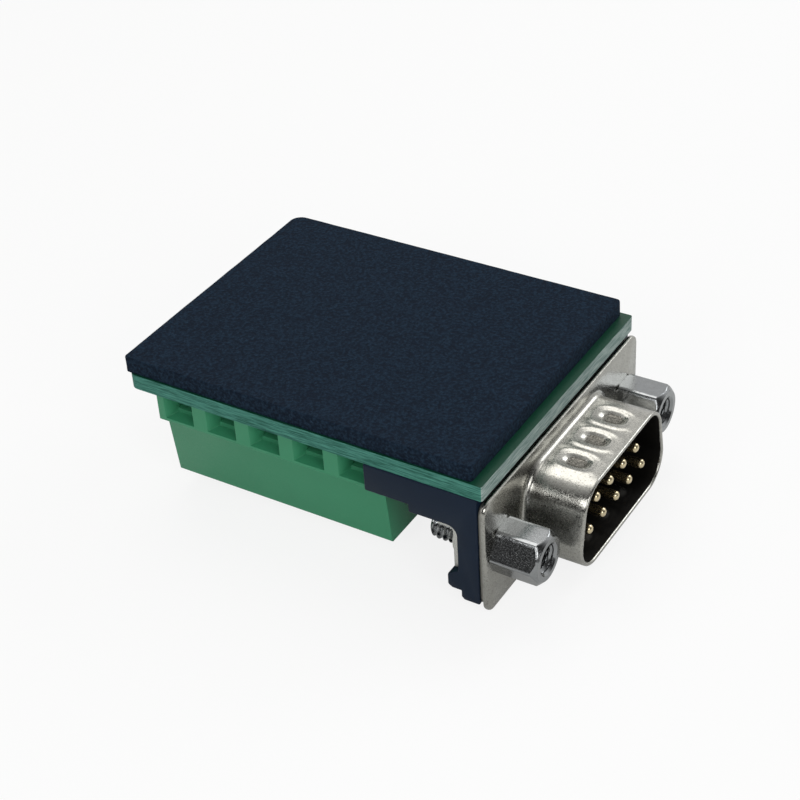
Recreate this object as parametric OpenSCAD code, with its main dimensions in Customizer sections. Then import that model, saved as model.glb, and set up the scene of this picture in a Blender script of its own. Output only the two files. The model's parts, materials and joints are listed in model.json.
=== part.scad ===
// Nine-way D-shaped plug on a small circuit board, wired out to two rows of screw terminals.
// Millimetres. X runs out of the plug, Z away from the terminals, and the origin is at the
// centre of the plug's flange, on its front face.

/* [Board] */
// Distance of the board's long edges inside the flange's ends
board_trim = 0.3; // [0:0.05:0.6]
// Thickness of the board
board_t = 1.6; // [0.8:0.1:2.4]
// Radius of the board's two back corners
board_r = 1; // [0.4:0.1:2.5]
// Radius of the board's two corners at the plug
board_front_r = 0.25; // [0.1:0.05:1]
// Distance of the board's front edge behind the flange's front face
board_setback = 0.4; // [0:0.1:1]
// Gap between the flange's upper edge and the board
board_gap = 0.3; // [0.1:0.1:1]

/* [Foam pad] */
// Overhang of the pad past the board's back edge
foam_over = 0.4; // [-1:0.1:0.6]
// Strip of board left bare along each long edge
foam_trim = 0.2; // [0:0.05:1]
// Thickness of the pad
foam_t = 1.7; // [1.5:0.1:4]
// Radius of the pad's one trimmed corner
foam_r = 1.3; // [0.5:0.1:3]
// Radius of the pad's other corners
foam_cut_r = 0.4; // [0.2:0.1:1]
// Strip of board left bare at the plug end
foam_setback = 1.1; // [0.2:0.1:3]
// Depth of the pockets over the soldered ends
pocket_h = 1.1; // [0.9:0.1:1.3]

/* [Terminal blocks] */
// Distance between ways
way_pitch = 5; // [5:0.01:5.08]
// Height of a block off the board
block_h = 11.15; // [10.4:0.05:12]
// Depth of a block at the board
block_d = 7.6; // [7.5:0.05:8.4]
// Distance of the wire entries inside the board's long edge
block_inset = 1; // [0.5:0.05:1.5]
// Gap between the brackets' bases and the blocks
block_gap = 0.65; // [0.5:0.05:1]
// Distance of the blocks from the board's back edge
block_back = 2.35; // [1:0.05:2.5]
// Height of the wire entry band
band_h = 3.8; // [3.7:0.05:4]
// Step from the band back to the sloping wall
ledge_d = 1.1; // [0.8:0.05:1.3]
// Lean of the sloping wall from the ledge to the screw face
lean_d = 0.75; // [0.3:0.05:0.8]
// Width of the posts between wire entries
post_w = 1.6; // [1.5:0.05:1.8]
// Lip left below each wire entry
lip_h = 0.45; // [0.3:0.05:0.5]
// Depth of the flared part of each wire entry
funnel_d = 1.4; // [0.8:0.05:1.4]
// Width and height of the inner wire hole
wire_w = 2.4; // [2.2:0.1:2.8]
// Height of the inner wire hole
wire_h = 2.1; // [2:0.1:2.4]

/* [Wire clamps] */
// Distance of the screws from the wire entry face
clamp_y = 4.55; // [4.5:0.05:4.6]
// Thread size of the clamp screws
screw_d = 2.5; // [2:0.1:2.5]
// Lead of the clamp screws' thread
screw_lead = 0.45; // [0.4:0.05:0.5]
// Diameter of the screw heads
head_d = 3.3; // [3.2:0.05:3.35]
// Height of the screw heads
head_h = 1.7; // [1.2:0.1:1.8]
// Width of the driver slot
slot_w = 0.6; // [0.4:0.05:0.8]
// Depth of the driver slot
slot_h = 0.8; // [0.5:0.05:1]
// Thickness of the rim that keeps the screws in
rim_h = 0.65; // [0.5:0.05:0.8]
// Diameter of the driver holes
driver_d = 2.9; // [2.6:0.1:3]
// Width of a clamp cage
cage_w = 3.3; // [3.25:0.05:3.4]
// Depth of a clamp cage, along the wire
cage_d = 3.6; // [3:0.1:3.7]
// Thickness of a cage's side walls
cage_wall = 0.35; // [0.3:0.05:0.35]
// Thickness of a cage's jaw
jaw_t = 0.6; // [0.4:0.05:0.6]
// Height of the threaded end of a cage
cage_nut_h = 1.2; // [0.8:0.1:1.3]
// Gap under an open cage, to the board
cage_foot = 0.6; // [0.3:0.05:0.7]
// Turns of a screw from open to closed
clamp_turns = 5; // [3:1:5]

/* [Terminal contacts] */
// Thickness of the contact bar
bar_t = 0.8; // [0.5:0.05:0.8]
// Height of the bar's lower face above the board
bar_low = 3.7; // [3.6:0.05:3.75]
// Width of a solder leg
leg_w = 1.2; // [0.8:0.05:1.3]
// Thickness of a solder leg
leg_t = 0.6; // [0.4:0.05:0.6]
// Length of every soldered end above the board
tail_out = 0.8; // [0.4:0.05:0.85]

/* [Plug shell] */
// Distance of the flange's ends past its fixing holes
hole_margin = 3.055; // [2.9:0.005:3.2]
// Height of the flange
flange_h = 12.6; // [12.3:0.05:12.8]
// Thickness of the flange sheet
flange_t = 0.5; // [0.4:0.05:0.7]
// Radius of the flange's corners
flange_r = 1.3; // [0.5:0.1:2]
// Distance of the fixing holes past the shell's inside, on its wide side
hole_gap = 4.035; // [4:0.005:4.1]
// Diameter of the fixing holes
hole_d = 3.1; // [3:0.05:3.3]
// Inside width of the shell at its wide side
shell_w = 16.92; // [16.8:0.01:17.05]
// Inside height of the shell
shell_h = 8.36; // [8.2:0.01:8.5]
// Radius of the shell's inside corners
shell_r = 2.6; // [2:0.05:3]
// Slope of the shell's short sides
shell_slope = 10; // [5:1:12]
// Thickness of the drawn wall
shell_wall = 0.4; // [0.3:0.05:0.5]
// Distance of the shell's rim from the flange face
shell_out = 6.15; // [5.8:0.05:6.4]
// Radius where the shell runs into the flange
root_r = 0.6; // [0.3:0.1:0.8]
// Distance between grip dimples
dimple_pitch = 3.75; // [3.2:0.05:4]
// Length of a dimple
dimple_l = 3.2; // [2.8:0.1:3.4]
// Width of a dimple
dimple_w = 2.1; // [1.8:0.1:2.4]
// Depth of a dimple
dimple_h = 0.24; // [0.16:0.02:0.3]
// Thickness of the rear plate
rear_t = 0.4; // [0.3:0.05:0.6]
// Depth of the rear plate's cup
cup_d = 1.5; // [1:0.1:1.8]

/* [Contacts] */
// Diameter of the plug pins
pin_d = 1; // [0.9:0.01:1.05]
// Distance between pins in a row
pin_pitch = 2.77; // [2.7:0.01:2.8]
// Distance between the rows
row_gap = 2.84; // [2.7:0.01:2.9]
// Distance of the pin tips from the flange face
pin_out = 5.6; // [5:0.05:5.8]
// Distance of the insulator's face from the flange face
insulator_out = 0.45; // [0.1:0.05:0.8]
// Depth of the rear insulator behind the front one
insulator_back = 2.6; // [2:0.1:3]
// Diameter of the bent tails
tail_d = 0.7; // [0.5:0.05:0.8]
// Distance of the line midway between the solder rows behind the flange face
solder_back = 8.08; // [7.8:0.01:8.4]
// Inside radius at the bends of the tails
bend_r = 0.6; // [0.4:0.1:0.8]

/* [Jack sockets] */
// Width of the hexagon across its flats
hex_w = 4.76; // [4.5:0.01:5]
// Length of the hexagon
hex_l = 4.7; // [4.5:0.1:5.5]
// Chamfer of the hexagon's corners
hex_c = 0.6; // [0.3:0.05:0.7]
// Diameter of the tapped hole
socket_d = 2.4; // [2.2:0.05:2.6]
// Depth of the tapped hole
socket_depth = 4; // [3:0.1:4.2]
// Diameter of the stud behind the flange
stud_d = 2.84; // [2.6:0.02:2.9]
// Diameter of the countersink at its mouth
sink_d = 3.3; // [3:0.1:3.5]
// Reach of the stud behind the flange face
stud_l = 6.9; // [5:0.1:7.2]

/* [Brackets and clips] */
// Distance of the brackets' outer faces inside the flange's ends
bracket_trim = 0.15; // [0:0.05:0.3]
// Width of one bracket
bracket_w = 5.8; // [5.2:0.1:5.8]
// Thickness of the upright wall
upright_t = 2.15; // [1.6:0.05:2.4]
// Depth of the bracket's foot below the connector's axis
upright_low = 5.5; // [5:0.1:5.9]
// Length of the bracket's deep base behind the upright's front face
deep_l = 7.1; // [6.9:0.1:7.6]
// Height of the deep base
deep_h = 3.8; // [3.3:0.05:4.2]
// Height of the shallow base
shallow_h = 2.95; // [2.4:0.05:3.1]
// Length of the whole base behind the upright's front face
base_l = 10.4; // [9:0.1:10.6]
// Length of the side rib past the base
rib_l = 1.3; // [0.5:0.1:1.5]
// Thickness of the side rib
rib_t = 0.9; // [0.5:0.05:0.95]
// Radius of the bracket's inner corner
corner_r = 1; // [0.7:0.1:1.2]
// Reach of the toe behind the upright
toe_l = 1.15; // [0.8:0.05:1.3]
// Thickness of the clip's strip
clip_t = 0.6; // [0.4:0.05:0.65]
// Width of the clip's strip
clip_w = 4.9; // [4.5:0.1:5]
// Diameter of the threaded collar on the clip
collar_d = 4; // [3.6:0.1:4.2]
// Height of the threaded collar
collar_h = 0.4; // [0.2:0.05:0.6]
// Width of the clip's tongue and solder prong
tongue_w = 1.8; // [1.2:0.1:2]
// Distance of the solder prong behind the flange face
prong_back = 7; // [6.7:0.05:7.1]

/* [Hidden] */
$fn = 24;
eps = 0.01;
// Clearance of a pin in its hole, on the radius
pin_fit = 0.03;
// Clearance between parts that slide past each other
slide_fit = 0.1;
// Clearance of a fixed part in its pocket
seat_fit = 0.05;
ways = 5;

// Widths and lengths that follow the shell, the brackets and the row of ways
hole_span = shell_w + 2 * hole_gap;
flange_w = hole_span + 2 * hole_margin;
bracket_span = flange_w - 2 * bracket_trim;
board_w = flange_w - 2 * board_trim;
foam_w = board_w - 2 * foam_trim;
block_l = ways * way_pitch;
board_l = flange_t + rear_t + base_l + block_gap + block_l + block_back - board_setback;
foam_l = board_l + foam_over - foam_setback;

// Board
board_low = flange_h / 2 + board_gap;
board_top = board_low + board_t;
board_front = -board_setback;
board_rear = board_front - board_l;

// Terminal blocks
block_x = board_rear + block_back + block_l / 2;
block_y = board_w / 2 - block_inset;
window_w = way_pitch - post_w;
window_low = 0.35;
window_top = band_h - lip_h;
cage_room_w = cage_w + 3 * slide_fit;
cage_room_d = cage_d + 5 * slide_fit;
head_room_d = head_d + 2 * slide_fit;
chamber_top = block_h - rim_h;
head_top = chamber_top - slide_fit;
head_low = head_top - head_h;
cage_room_top = head_low - slide_fit;
bar_top = bar_low + bar_t;
cage_open_low = cage_foot + jaw_t;
cage_open_top = bar_top + slide_fit;
bar_w = cage_w - 2 * cage_wall - 2 * slide_fit;
room_front = clamp_y - cage_room_d / 2;
room_back = clamp_y + cage_room_d / 2;
bar_seat = 0.4;
leg_y = room_back + leg_t / 2;
clamp_travel = clamp_turns * screw_lead;

// Plug
rear_face = -flange_t - rear_t;
ring_gap = 0.55;
insulator_rear = rear_face - cup_d;
tail_start = insulator_rear - insulator_back / 2;
front_row_x = -solder_back + row_gap / 2;
back_row_x = -solder_back - row_gap / 2;
tail_top = board_top + tail_out;
hole_y = hole_span / 2;

// Brackets
bracket_front = rear_face;
bracket_y = bracket_span / 2;
upright_rear = bracket_front - upright_t;
deep_low = board_low - deep_h;
toe_rear = upright_rear - toe_l;

// Extrudes a shape drawn in Y and Z along X, from x0 over a length
module along_x(x0, length) {
    translate([x0, 0, 0])
        rotate([90, 0, 90])
            linear_extrude(length)
                children();
}

// Extrudes a shape drawn in X and Z along Y, from y0 over a length
module along_y(y0, length) {
    translate([0, y0 + length, 0])
        rotate([90, 0, 0])
            linear_extrude(length)
                children();
}

// Rectangle with round corners, centred
module rounded(w, h, r) {
    square([w - 2 * r, h], center = true);
    square([w, h - 2 * r], center = true);
    for (sx = [-1, 1], sy = [-1, 1])
        translate([sx * (w / 2 - r), sy * (h / 2 - r)])
            circle(r);
}

// Rectangle with its own radius at each corner, centred, anticlockwise from low X and low Y
module rounded_each(w, h, r) {
    x = w / 2;
    y = h / 2;
    polygon([
        [-x, -y + r[0]], [-x + r[0], -y], [x - r[1], -y], [x, -y + r[1]],
        [x, y - r[2]], [x - r[2], y], [-x + r[3], y], [-x, y - r[3]]
    ]);
    translate([-x + r[0], -y + r[0]])
        circle(r[0]);
    translate([x - r[1], -y + r[1]])
        circle(r[1]);
    translate([x - r[2], y - r[2]])
        circle(r[2]);
    translate([-x + r[3], y - r[3]])
        circle(r[3]);
}

// The plug's D outline, grown outwards by g
module d_outline(g) {
    r = shell_r + g;
    rise = shell_h / 2 - shell_r;
    low_x = shell_w / 2 - shell_r;
    high_x = low_x - 2 * rise * tan(shell_slope);
    // The straight sides lie a hair inside the corners' tangents, so that they cross the arcs cleanly
    flat_r = r - 0.005;
    side = [flat_r * cos(shell_slope), flat_r * sin(shell_slope)];
    polygon([
        [-low_x, -rise - flat_r], [low_x, -rise - flat_r],
        [low_x + side[0], -rise + side[1]], [high_x + side[0], rise + side[1]],
        [high_x, rise + flat_r], [-high_x, rise + flat_r],
        [-high_x - side[0], rise + side[1]], [-low_x - side[0], -rise + side[1]]
    ]);
    for (s = [-1, 1]) {
        translate([s * low_x, -rise])
            circle(r, $fn = 48);
        translate([s * high_x, rise])
            circle(r, $fn = 48);
    }
}

// Slot with round ends, standing on Z
module slot_form(l, w, h) {
    for (s = [-1, 1])
        translate([s * (l - w) / 2, 0, 0])
            cylinder(d = w, h = h);
    translate([-(l - w) / 2, -w / 2, 0])
        cube([l - w, w, h]);
}

// A grip dimple pressed down from Z = 0 to its full depth, in two steps, and ending above at top
module dimple_form(shrink, top) {
    translate([0, 0, -dimple_h / 2])
        slot_form(dimple_l - shrink, dimple_w - shrink, dimple_h / 2 + top);
    translate([0, 0, -dimple_h])
        slot_form(dimple_l - shrink - 1.4, dimple_w - shrink - 1, dimple_h + top);
}

// Points where the plug's tails come through the board
function pin_y(i) = i < 5 ? (i - 2) * pin_pitch : (i - 6.5) * pin_pitch;
function pin_z(i) = i < 5 ? -row_gap / 2 : row_gap / 2;
function pin_x(i) = i < 5 ? back_row_x : front_row_x;

// X of a way within its block
function way_x(k) = (k - (ways - 1) / 2) * way_pitch;

// Puts a block's own frame on the board: its Z points off the board, its Y inwards
module on_near() {
    translate([block_x, -block_y, board_low])
        rotate([0, 180, 0])
            children();
}

module on_far() {
    translate([block_x, block_y, board_low])
        rotate([180, 0, 0])
            children();
}

// Puts children at way i of ten: five on the near block, five on the far one
module on_way(i) {
    if (i < ways) {
        on_near()
            translate([way_x(i), 0, 0])
                children();
    } else {
        on_far()
            translate([way_x(i - ways), 0, 0])
                children();
    }
}

// Every solder hole of the board, or pocket of the pad
module solder_holes(extra, low, high) {
    for (i = [0:8])
        translate([pin_x(i), pin_y(i), low])
            cylinder(d = tail_d + 0.3 + extra, h = high - low);
    for (side = [-1, 1]) {
        for (k = [0:ways - 1])
            translate([block_x + way_x(k), side * (block_y - leg_y), low])
                cylinder(d = leg_w + 0.3 + extra, h = high - low);
        translate([-prong_back, side * hole_y, low])
            cylinder(d = tongue_w + 0.3 + extra, h = high - low);
    }
}

module foam_pad() {
    color("#1e2833")
        difference() {
            translate([board_front - foam_setback - foam_l / 2, 0, board_top])
                linear_extrude(foam_t)
                    rounded_each(foam_l, foam_w, [foam_cut_r, foam_cut_r, foam_cut_r, foam_r]);
            solder_holes(0.9, board_top - eps, board_top + pocket_h);
        }
}

module circuit_board() {
    color("#1f6b50")
        difference() {
            translate([board_front - board_l / 2, 0, board_low])
                linear_extrude(board_t)
                    rounded_each(board_l, board_w, [board_r, board_front_r, board_front_r, board_r]);
            solder_holes(0, board_low - eps, board_top + eps);
        }
}

// One wire entry, its clamp chamber and its driver hole, as the space they leave
module way_space() {
    // Flared mouth
    translate([0, 0, window_low])
        linear_extrude(window_top - window_low)
            polygon([[-window_w / 2, -eps], [window_w / 2, -eps],
                [wire_w / 2, funnel_d], [-wire_w / 2, funnel_d]]);
    // Wire hole through the front wall
    translate([-wire_w / 2, 0, (window_low + window_top - wire_h) / 2])
        cube([wire_w, clamp_y, wire_h]);
    // Room for the cage, open to the board
    translate([-cage_room_w / 2, room_front, -eps])
        cube([cage_room_w, cage_room_d, cage_room_top + eps]);
    // Seats of the contact bar in the front wall and of its leg in the back wall
    translate([-bar_w / 2 - seat_fit, room_front - bar_seat, bar_low - seat_fit])
        cube([bar_w + 2 * seat_fit, bar_seat + eps, bar_t + 2 * seat_fit]);
    translate([-leg_w / 2 - seat_fit, room_back - eps, -eps])
        cube([leg_w + 2 * seat_fit, leg_t + seat_fit + eps, bar_top + seat_fit + eps]);
    // Head chamber and driver hole
    translate([0, clamp_y, cage_room_top - eps])
        cylinder(d = head_room_d, h = chamber_top - cage_room_top + eps);
    translate([0, clamp_y, chamber_top - eps])
        cylinder(d = driver_d, h = rim_h + 2 * eps);
    // Countersink of the driver hole
    translate([0, clamp_y, block_h - 0.25])
        cylinder(d1 = driver_d, d2 = driver_d + 0.6, h = 0.25 + eps);
}

module housing_form() {
    edge = 0.12;
    difference() {
        along_x(-block_l / 2, block_l)
            polygon([
                [0, 0], [0, band_h - edge], [edge, band_h], [ledge_d, band_h],
                [ledge_d + lean_d, block_h - edge], [ledge_d + lean_d + edge, block_h],
                [block_d - edge, block_h], [block_d, block_h - edge], [block_d, 0]
            ]);
        for (k = [0:ways - 1])
            translate([way_x(k), 0, 0])
                way_space();
    }
}

module terminal_housing_near() {
    color("#3a8560")
        on_near()
            housing_form();
}

module terminal_housing_far() {
    color("#3a8560")
        on_far()
            housing_form();
}

module terminal_screw(i) {
    color("#c9c7bd")
        on_way(i)
            translate([0, clamp_y, 0])
                difference() {
                    union() {
                        translate([0, 0, head_low])
                            cylinder(d = head_d, h = head_h);
                        translate([0, 0, cage_open_top])
                            cylinder(d = screw_d, h = head_low - cage_open_top + eps);
                    }
                    translate([-head_d, -slot_w / 2, head_top - slot_h])
                        cube([2 * head_d, slot_w, slot_h + eps]);
                }
}

module clamp_cage(i) {
    outer_top = cage_open_top + cage_nut_h;
    color("#b9b4a4")
        on_way(i)
            translate([0, clamp_y, 0])
                difference() {
                    translate([-cage_w / 2, -cage_d / 2, cage_foot])
                        cube([cage_w, cage_d, outer_top - cage_foot]);
                    translate([-cage_w / 2 + cage_wall, -cage_d, cage_open_low])
                        cube([cage_w - 2 * cage_wall, 2 * cage_d, cage_open_top - cage_open_low]);
                    translate([0, 0, cage_open_top - eps])
                        cylinder(d = screw_d + 2 * pin_fit, h = cage_nut_h + 2 * eps);
                }
}

module terminal_contact(i) {
    color("#cfc9b8")
        on_way(i) {
            translate([-bar_w / 2, room_front - bar_seat, bar_low])
                cube([bar_w, bar_seat + cage_room_d, bar_t]);
            translate([-leg_w / 2, room_back - eps, -board_t - tail_out])
                cube([leg_w, leg_t + eps, bar_top + board_t + tail_out]);
        }
}

module front_shell() {
    color("#b9b7b0")
        difference() {
            union() {
                along_x(-flange_t, flange_t)
                    rounded(flange_w, flange_h, flange_r);
                along_x(-eps, shell_out + eps)
                    d_outline(shell_wall);
                // Root of the drawn wall, in two steps
                along_x(-eps, eps + root_r / 6)
                    d_outline(shell_wall + root_r * 2 / 3);
                along_x(-eps, eps + root_r / 2)
                    d_outline(shell_wall + root_r / 4);
            }
            along_x(-flange_t - eps, flange_t + shell_out + 2 * eps)
                d_outline(0);
            for (side = [-1, 1])
                translate([-flange_t - eps, side * hole_y, 0])
                    rotate([0, 90, 0])
                        cylinder(d = hole_d, h = flange_t + 2 * eps);
            for (k = [-1:1], side = [-1, 1])
                translate([shell_out / 2, k * dimple_pitch, side * (shell_h / 2 + shell_wall)])
                    mirror([0, 0, side < 0 ? 1 : 0])
                        dimple_form(0, eps);
        }
    // Inner faces of the dimples
    color("#b9b7b0")
        for (k = [-1:1], side = [-1, 1])
            translate([shell_out / 2, k * dimple_pitch, side * shell_h / 2])
                mirror([0, 0, side < 0 ? 1 : 0])
                    dimple_form(-dimple_h / 2, eps);
}

module rear_shell() {
    trim = 0.35;
    color("#8f8d86")
        difference() {
            union() {
                along_x(rear_face, rear_t)
                    rounded(flange_w - 2 * trim, flange_h - 2 * trim, flange_r);
                along_x(insulator_rear, cup_d + eps)
                    d_outline(ring_gap + shell_wall);
            }
            along_x(insulator_rear - eps, cup_d + rear_t + 2 * eps)
                d_outline(ring_gap);
            for (side = [-1, 1])
                translate([rear_face - eps, side * hole_y, 0])
                    rotate([0, 90, 0])
                        cylinder(d = hole_d, h = rear_t + 2 * eps);
        }
}

// Holes for the nine pins through an insulator
module pin_holes(x0, x1, d) {
    for (i = [0:8])
        translate([x0, pin_y(i), pin_z(i)])
            rotate([0, 90, 0])
                cylinder(d = d + 2 * pin_fit, h = x1 - x0);
}

module front_insulator() {
    color("#17181a")
        difference() {
            union() {
                along_x(-flange_t - eps, flange_t + insulator_out + eps)
                    d_outline(-seat_fit);
                along_x(insulator_rear, -flange_t - insulator_rear)
                    d_outline(ring_gap - seat_fit);
            }
            pin_holes(insulator_rear - eps, insulator_out + eps, pin_d);
        }
}

module rear_insulator() {
    color("#1b1c1f")
        difference() {
            along_x(insulator_rear - insulator_back, insulator_back)
                d_outline(-0.4);
            pin_holes(insulator_rear - insulator_back - eps, insulator_rear + eps, tail_d);
            pin_holes(tail_start - seat_fit, insulator_rear + eps, pin_d);
        }
}

module plug_pin(i) {
    z = pin_z(i);
    x = pin_x(i);
    turn = bend_r + tail_d / 2;
    color("#cdb36a")
        translate([0, pin_y(i), 0]) {
            translate([tail_start, 0, z])
                rotate([0, 90, 0])
                    cylinder(d = pin_d, h = pin_out - pin_d / 2 - tail_start);
            translate([pin_out - pin_d / 2, 0, z])
                sphere(d = pin_d);
            translate([x + turn, 0, z])
                rotate([0, 90, 0])
                    cylinder(d = tail_d, h = tail_start - x - turn + eps);
            translate([x + turn, 0, z + turn])
                rotate([-90, 0, 0])
                    rotate([0, 0, 90])
                        rotate_extrude(angle = 90)
                            translate([turn, 0])
                                circle(d = tail_d);
            translate([x, 0, z + turn])
                cylinder(d = tail_d, h = tail_top - z - turn);
        }
}

// Side view of a bracket, in X and Z
module bracket_profile() {
    centre = [upright_rear - corner_r, deep_low - corner_r];
    foot = -upright_low;
    polygon(concat(
        [[bracket_front, board_low], [bracket_front - base_l, board_low],
            [bracket_front - base_l, board_low - shallow_h],
            [bracket_front - deep_l, board_low - shallow_h],
            [bracket_front - deep_l, deep_low]],
        [for (a = [90:-15:0]) centre + corner_r * [cos(a), sin(a)]],
        [[upright_rear, foot + 3.2], [toe_rear, foot + 2.5], [toe_rear, foot + 1.3],
            [toe_rear + 0.45, foot + 1], [upright_rear + 0.25, foot + 1],
            [upright_rear + 0.25, foot + 0.3], [upright_rear + 0.55, foot],
            [bracket_front, foot]]
    ));
}

module bracket_near() {
    color("#1a2433")
        difference() {
            union() {
                along_y(-bracket_y, bracket_w)
                    bracket_profile();
                translate([bracket_front - base_l - rib_l, -bracket_y, board_low - shallow_h])
                    cube([rib_l + eps, rib_t, shallow_h]);
            }
            translate([upright_rear - toe_l - eps, -hole_y, 0])
                rotate([0, 90, 0])
                    cylinder(d = hole_d, h = upright_t + toe_l + 2 * eps);
            translate([-prong_back, -hole_y, (deep_low + board_low) / 2])
                cube([clip_t + 2 * slide_fit, tongue_w + 2 * slide_fit, deep_h + 1], center = true);
        }
}

module bracket_far() {
    mirror([0, 1, 0])
        bracket_near();
}

// Side view of the clip's strip, from the upright round the inner corner
module clip_profile(end) {
    centre = [upright_rear - corner_r, deep_low - corner_r];
    inner = corner_r - clip_t;
    polygon(concat(
        [[end, deep_low], [end, deep_low - clip_t]],
        [for (a = [90:-15:0]) centre + inner * [cos(a), sin(a)]],
        [[upright_rear - clip_t, -upright_low + 3.3], [upright_rear, -upright_low + 3.3]],
        [for (a = [0:15:90]) centre + corner_r * [cos(a), sin(a)]]
    ));
}

module ground_clip_near() {
    strip_end = upright_rear - corner_r - 1.2;
    color("#c4c4c0")
        difference() {
            union() {
                along_y(-hole_y - clip_w / 2, clip_w)
                    clip_profile(strip_end);
                translate([-prong_back - clip_t / 2, -hole_y - tongue_w / 2, deep_low - clip_t])
                    cube([strip_end + prong_back + clip_t / 2 + eps, tongue_w, clip_t]);
                translate([-prong_back - clip_t / 2, -hole_y - tongue_w / 2, deep_low - clip_t])
                    cube([clip_t, tongue_w, tail_top - deep_low + clip_t]);
                translate([upright_rear - clip_t - collar_h, -hole_y, 0])
                    rotate([0, 90, 0])
                        cylinder(d = collar_d, h = collar_h + eps);
            }
            translate([upright_rear - clip_t - collar_h - eps, -hole_y, 0])
                rotate([0, 90, 0])
                    cylinder(d = stud_d + 2 * pin_fit, h = clip_t + collar_h + 2 * eps);
        }
}

module ground_clip_far() {
    mirror([0, 1, 0])
        ground_clip_near();
}

module jack_socket_near() {
    corner = hex_w / cos(30);
    base_c = hex_c / 3;
    color("#c8c6c0")
        translate([0, -hole_y, 0])
            rotate([0, 90, 0]) {
                difference() {
                    intersection() {
                        rotate([0, 0, 30])
                            cylinder(d = corner, h = hex_l, $fn = 6);
                        union() {
                            cylinder(d1 = corner - 2 * base_c, d2 = corner + eps, h = base_c);
                            translate([0, 0, base_c])
                                cylinder(d = corner + eps, h = hex_l - base_c - hex_c);
                            translate([0, 0, hex_l - hex_c])
                                cylinder(d1 = corner + eps, d2 = corner - 2 * hex_c, h = hex_c);
                        }
                    }
                    translate([0, 0, hex_l - socket_depth])
                        cylinder(d = socket_d, h = socket_depth + eps);
                    translate([0, 0, hex_l - (sink_d - socket_d) / 2])
                        cylinder(d1 = socket_d, d2 = sink_d + 2 * eps, h = (sink_d - socket_d) / 2 + eps);
                }
                translate([0, 0, -stud_l])
                    cylinder(d = stud_d, h = stud_l + eps);
            }
}

module jack_socket_far() {
    mirror([0, 1, 0])
        jack_socket_near();
}

foam_pad();
circuit_board();
terminal_housing_near();
terminal_housing_far();
terminal_screw(0);  // terminal_screw_1
terminal_screw(1);  // terminal_screw_2
terminal_screw(2);  // terminal_screw_3
terminal_screw(3);  // terminal_screw_4
terminal_screw(4);  // terminal_screw_5
terminal_screw(5);  // terminal_screw_6
terminal_screw(6);  // terminal_screw_7
terminal_screw(7);  // terminal_screw_8
terminal_screw(8);  // terminal_screw_9
terminal_screw(9);  // terminal_screw_10
clamp_cage(0);  // clamp_cage_1
clamp_cage(1);  // clamp_cage_2
clamp_cage(2);  // clamp_cage_3
clamp_cage(3);  // clamp_cage_4
clamp_cage(4);  // clamp_cage_5
clamp_cage(5);  // clamp_cage_6
clamp_cage(6);  // clamp_cage_7
clamp_cage(7);  // clamp_cage_8
clamp_cage(8);  // clamp_cage_9
clamp_cage(9);  // clamp_cage_10
terminal_contact(0);  // terminal_contact_1
terminal_contact(1);  // terminal_contact_2
terminal_contact(2);  // terminal_contact_3
terminal_contact(3);  // terminal_contact_4
terminal_contact(4);  // terminal_contact_5
terminal_contact(5);  // terminal_contact_6
terminal_contact(6);  // terminal_contact_7
terminal_contact(7);  // terminal_contact_8
terminal_contact(8);  // terminal_contact_9
terminal_contact(9);  // terminal_contact_10
front_shell();
rear_shell();
front_insulator();
rear_insulator();
plug_pin(0);  // plug_pin_1
plug_pin(1);  // plug_pin_2
plug_pin(2);  // plug_pin_3
plug_pin(3);  // plug_pin_4
plug_pin(4);  // plug_pin_5
plug_pin(5);  // plug_pin_6
plug_pin(6);  // plug_pin_7
plug_pin(7);  // plug_pin_8
plug_pin(8);  // plug_pin_9
bracket_near();
bracket_far();
ground_clip_near();
ground_clip_far();
jack_socket_near();
jack_socket_far();
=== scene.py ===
import json
import math

import bmesh
import bpy
from mathutils import Matrix, Vector, noise
from mathutils.geometry import delaunay_2d_cdt


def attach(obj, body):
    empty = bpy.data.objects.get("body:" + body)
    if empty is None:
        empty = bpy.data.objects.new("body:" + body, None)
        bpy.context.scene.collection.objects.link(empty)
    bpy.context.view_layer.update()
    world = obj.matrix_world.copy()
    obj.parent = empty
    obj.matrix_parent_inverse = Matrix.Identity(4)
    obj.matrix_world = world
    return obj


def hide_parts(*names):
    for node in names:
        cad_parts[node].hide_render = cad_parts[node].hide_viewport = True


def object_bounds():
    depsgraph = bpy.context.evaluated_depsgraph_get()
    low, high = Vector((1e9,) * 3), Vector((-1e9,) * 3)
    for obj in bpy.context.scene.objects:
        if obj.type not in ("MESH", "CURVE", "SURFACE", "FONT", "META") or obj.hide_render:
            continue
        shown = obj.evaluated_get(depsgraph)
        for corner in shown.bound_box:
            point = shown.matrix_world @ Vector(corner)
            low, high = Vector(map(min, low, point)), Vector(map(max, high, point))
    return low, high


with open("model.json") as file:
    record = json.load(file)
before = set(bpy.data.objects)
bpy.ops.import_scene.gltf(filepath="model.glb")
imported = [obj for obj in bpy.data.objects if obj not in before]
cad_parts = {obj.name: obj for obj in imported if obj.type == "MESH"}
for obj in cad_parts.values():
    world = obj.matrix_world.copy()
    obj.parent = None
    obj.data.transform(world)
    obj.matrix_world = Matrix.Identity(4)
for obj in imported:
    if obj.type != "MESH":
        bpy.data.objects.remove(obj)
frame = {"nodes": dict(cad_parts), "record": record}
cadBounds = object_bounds()
scene = bpy.context.scene
mm = 0.001
print("frame loaded")


# Stage

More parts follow.
